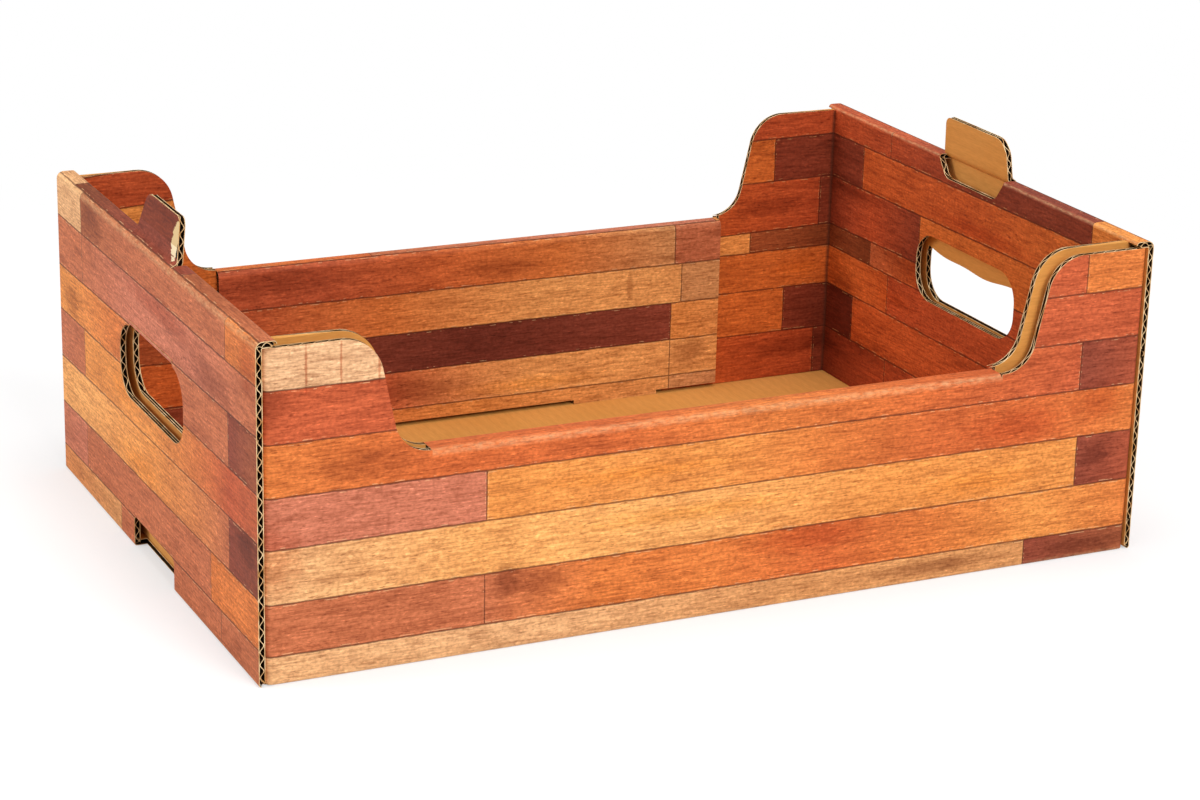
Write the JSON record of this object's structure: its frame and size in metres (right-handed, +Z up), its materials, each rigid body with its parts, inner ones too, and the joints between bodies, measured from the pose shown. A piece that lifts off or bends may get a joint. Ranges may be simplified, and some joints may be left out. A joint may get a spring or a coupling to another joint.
{
  "type": "cardboard tray box",
  "caption": "Open folded tray of printed corrugated board with high double end walls, low rolled side rails, corner posts, grip holes and stacking tabs.",
  "frame": {"origin": "centre of the footprint, on the underside of the floor", "axes": "+X along the long low walls, +Y along the end walls, +Z up"},
  "size_m": [0.6, 0.4, 0.2368],
  "materials": {
    "corrugated_board": "printed kraft liner outside, plain kraft inside, matte"
  },
  "bodies": {
    "root": {"tray": "corrugated_board"}
  },
  "joints": []
}
